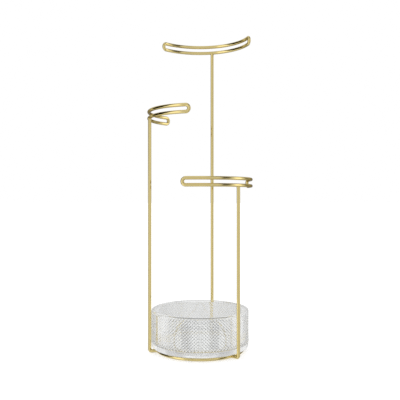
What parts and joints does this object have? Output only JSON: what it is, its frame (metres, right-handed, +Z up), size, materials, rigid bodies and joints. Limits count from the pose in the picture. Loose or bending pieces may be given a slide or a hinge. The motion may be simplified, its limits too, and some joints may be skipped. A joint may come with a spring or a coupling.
{
  "type": "jewelry stand",
  "caption": "Free-standing jewelry stand: curved wire hangers on slim posts of stepped heights round a lift-out knurled glass tray, for necklaces, earrings and rings.",
  "frame": {"origin": "on the floor, on the axis of the tray and the base ring", "axes": "+Z up, +Y towards the tall post. Anticlockwise from above, the middle post is at 210 degrees from +X and the short post at 330 degrees."},
  "size_m": [0.1392, 0.1397, 0.4208],
  "materials": {
    "brass_wire": "bright pale brass plate on drawn wire, lacquered",
    "clear_glass": "clear pressed glass, fire polished",
    "clear_silicone": "clear soft silicone"
  },
  "bodies": {
    "frame": {"base_ring": "brass_wire", "tall_post": "brass_wire", "tall_hanger": "brass_wire", "tall_hanger_weld": "brass_wire", "tall_foot_weld": "brass_wire", "middle_post": "brass_wire", "middle_hanger": "brass_wire", "middle_hanger_weld": "brass_wire", "middle_foot_weld": "brass_wire", "short_post": "brass_wire", "short_hanger": "brass_wire", "short_hanger_weld": "brass_wire", "short_foot_weld": "brass_wire", "floor_pad_1": "clear_silicone", "floor_pad_2": "clear_silicone", "floor_pad_3": "clear_silicone", "tray_pad_1": "clear_silicone", "tray_pad_2": "clear_silicone", "tray_pad_3": "clear_silicone"},
    "tray": {"glass_tray": "clear_glass"}
  },
  "joints": [
    {"name": "tray_lift", "type": "slide", "parent": "frame", "child": "tray", "axis": [0, 0, 1], "range_m": [0, 0.225]}
  ]
}
